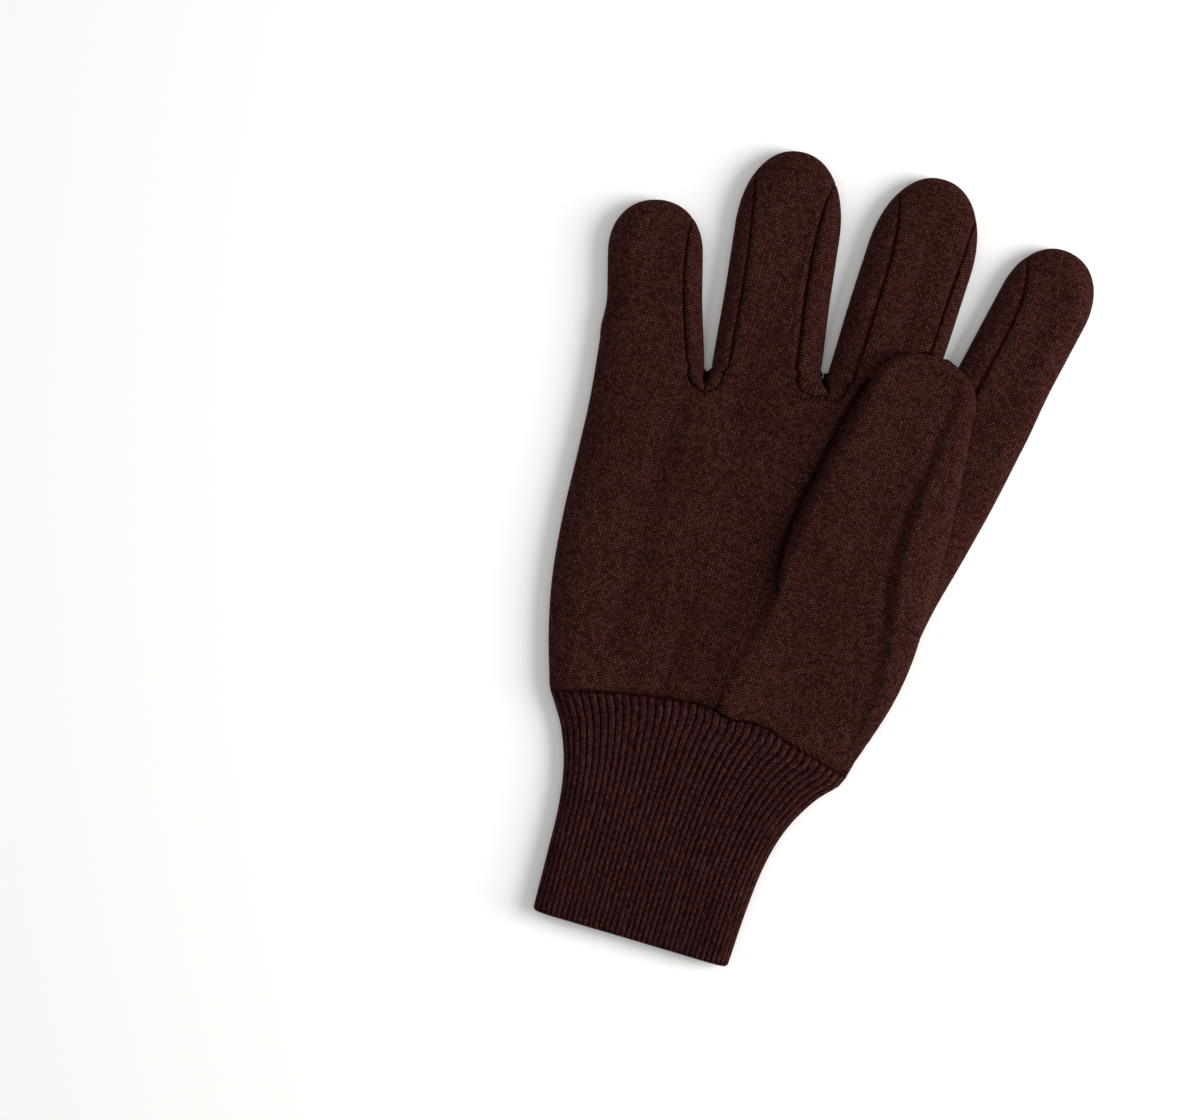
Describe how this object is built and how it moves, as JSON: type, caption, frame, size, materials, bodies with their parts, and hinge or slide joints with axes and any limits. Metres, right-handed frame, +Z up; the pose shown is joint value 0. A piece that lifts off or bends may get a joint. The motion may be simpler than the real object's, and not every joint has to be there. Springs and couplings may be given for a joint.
{
  "type": "cotton work glove",
  "caption": "Brown cotton jersey work glove with a rib knit wrist, lying on its back with the thumb folded over the palm; worn on the right hand.",
  "frame": {"origin": "under the middle of the glove's box, on the surface that it lies on", "axes": "+Y from the cuff to the fingertips, +X towards the thumb and the index finger, +Z up out of the palm"},
  "size_m": [0.1562, 0.2644, 0.0182],
  "materials": {
    "jersey": "matt marled cotton jersey, slightly fuzzy",
    "rib_knit": "matt marled cotton rib knit"
  },
  "bodies": {
    "root": {"palm": "jersey", "back_little": "jersey", "back_ring": "jersey", "back_middle": "jersey", "back_index": "jersey", "thumb_front": "jersey", "thumb_back": "jersey", "cuff": "rib_knit"}
  },
  "joints": []
}
